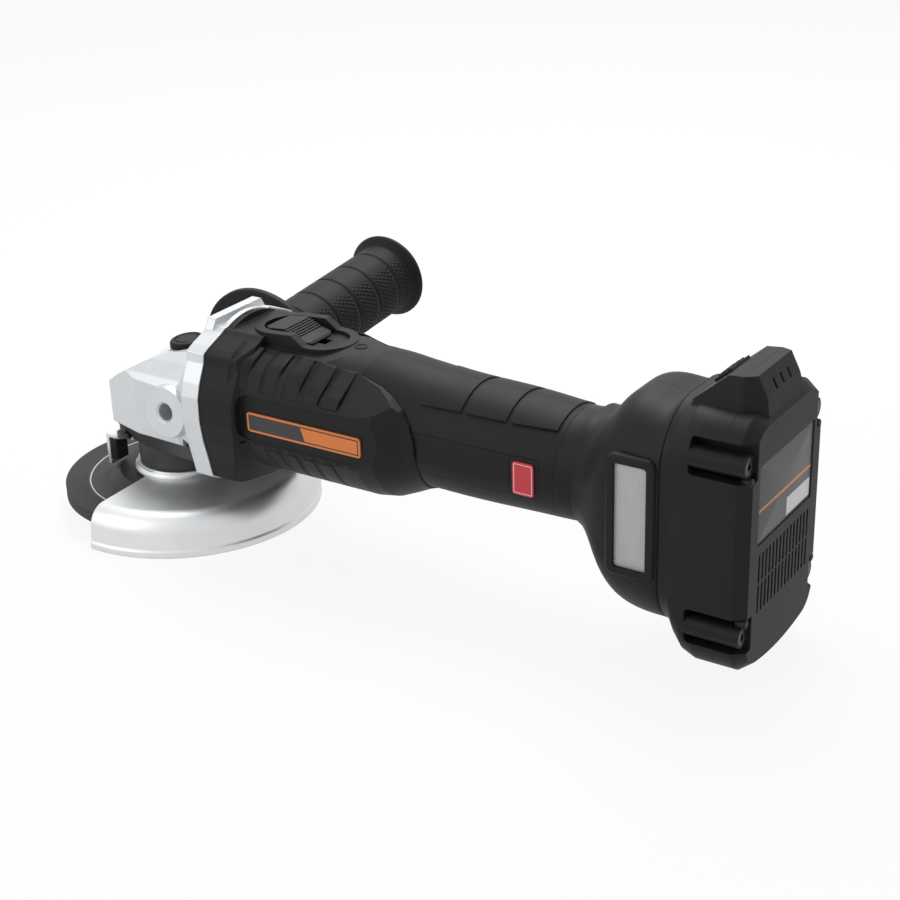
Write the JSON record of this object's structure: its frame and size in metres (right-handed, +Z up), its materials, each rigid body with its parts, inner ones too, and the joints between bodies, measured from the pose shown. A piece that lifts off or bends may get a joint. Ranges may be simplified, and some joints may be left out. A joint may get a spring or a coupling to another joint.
{
  "type": "angle grinder",
  "caption": "Cordless angle grinder with faceted gear head, half guard, depressed-centre disc, side handle, slide switch, round soft grip and slide-on battery.",
  "frame": {"origin": "centre of the lock nut's outer face, on the spindle axis", "axes": "+X back along the tool to the battery, +Y to the side handle, +Z up the spindle"},
  "size_m": [0.3665, 0.2208, 0.1278],
  "materials": {
    "cast_silver": "satin casting",
    "black_casting": "satin",
    "guard_steel": "satin",
    "steel": "machined",
    "dark_steel": "blackened",
    "abrasive": "rough",
    "black_plastic": "fine texture",
    "soft_rubber": "soft touch",
    "label_orange": "printed film",
    "badge_red": "printed film",
    "screen": "fine screen",
    "copper": "enamelled",
    "laminations": "stacked",
    "cell_wrap": "shrink wrap",
    "board_green": "satin"
  },
  "bodies": {
    "housing": {"gear_housing": "cast_silver", "bearing_cover": "black_casting", "cover_screws": "dark_steel", "flange_screws": "dark_steel", "spindle_bearing": "steel", "bearing_clip": "steel", "upper_bush": "copper", "lock_spring": "steel", "lever_pin": "steel", "handle_stud": "steel", "handle_core": "black_plastic", "handle_sleeve": "soft_rubber", "fan_baffle": "black_plastic", "stator_core": "laminations", "stator_windings": "copper", "front_motor_bearing": "steel", "rear_motor_bearing": "steel", "motor_housing": "black_plastic", "microswitch": "black_plastic", "control_board": "board_green", "label_plate": "label_orange", "grip_badge": "badge_red", "shell_screws": "dark_steel", "terminal_block": "black_plastic", "grip_shell_left": "black_plastic", "grip_shell_right": "black_plastic", "grip_rubber_left": "soft_rubber", "grip_rubber_right": "soft_rubber", "filter_frame_left": "black_plastic", "filter_frame_right": "black_plastic", "filter_mesh_left": "screen", "filter_mesh_right": "screen"},
    "spindle": {"spindle": "steel", "inner_flange": "steel", "crown_gear": "steel", "grinding_disc": "abrasive", "lock_nut": "dark_steel"},
    "rotor": {"rotor_shaft": "steel", "rotor_core": "laminations", "pinion": "steel", "fan": "black_plastic"},
    "guard": {"guard": "guard_steel"},
    "lever": {"guard_lever": "guard_steel", "lever_pad": "black_plastic"},
    "lock": {"lock_button": "black_plastic", "lock_pin": "steel"},
    "slider": {"switch_slider": "black_plastic", "switch_link": "black_plastic"},
    "battery": {"battery_base": "black_plastic", "battery_cover": "black_plastic", "battery_screws": "dark_steel", "battery_cells": "cell_wrap", "cell_holder": "black_plastic", "battery_contacts": "copper", "button_spring": "steel"},
    "button": {"release_button": "black_plastic"}
  },
  "joints": [
    {"name": "spindle_spin", "type": "hinge", "parent": "housing", "child": "spindle", "pos_m": [0, 0, 0.0233], "axis": [0, 0, 1], "continuous": true},
    {"name": "rotor_spin", "type": "hinge", "parent": "housing", "child": "rotor", "pos_m": [0.06, 0, 0.0612], "axis": [1, 0, 0], "continuous": true},
    {"name": "guard_turn", "type": "hinge", "parent": "housing", "child": "guard", "pos_m": [0, 0, 0.0128], "axis": [0, 0, 1], "range_deg": [-50, 90]},
    {"name": "lever_press", "type": "hinge", "parent": "housing", "child": "lever", "pos_m": [-0.0233, -0.0088, 0.0235], "axis": [0, 0, 1], "range_deg": [0, 12], "stiffness_Nm_per_rad": 0.06, "springref_deg": -11.46},
    {"name": "lock_press", "type": "slide", "parent": "housing", "child": "lock", "axis": [0, 0, -1], "range_m": [0, 0.0024], "stiffness_N_per_m": 400, "springref_m": -0.0015, "deforming": ["lock_spring"]},
    {"name": "slider_move", "type": "slide", "parent": "housing", "child": "slider", "axis": [1, 0, 0], "range_m": [0, 0.008]},
    {"name": "battery_slide", "type": "slide", "parent": "housing", "child": "battery", "axis": [0, 0, 1], "range_m": [0, 0.056]},
    {"name": "release_press", "type": "slide", "parent": "battery", "child": "button", "axis": [0.6508, 0, -0.7593], "range_m": [0, 0.0022], "stiffness_N_per_m": 400, "springref_m": -0.0015, "deforming": ["button_spring"]}
  ],
  "couplings": [
    {"joint": "rotor_spin", "follows": "spindle_spin", "ratio": 3}
  ]
}
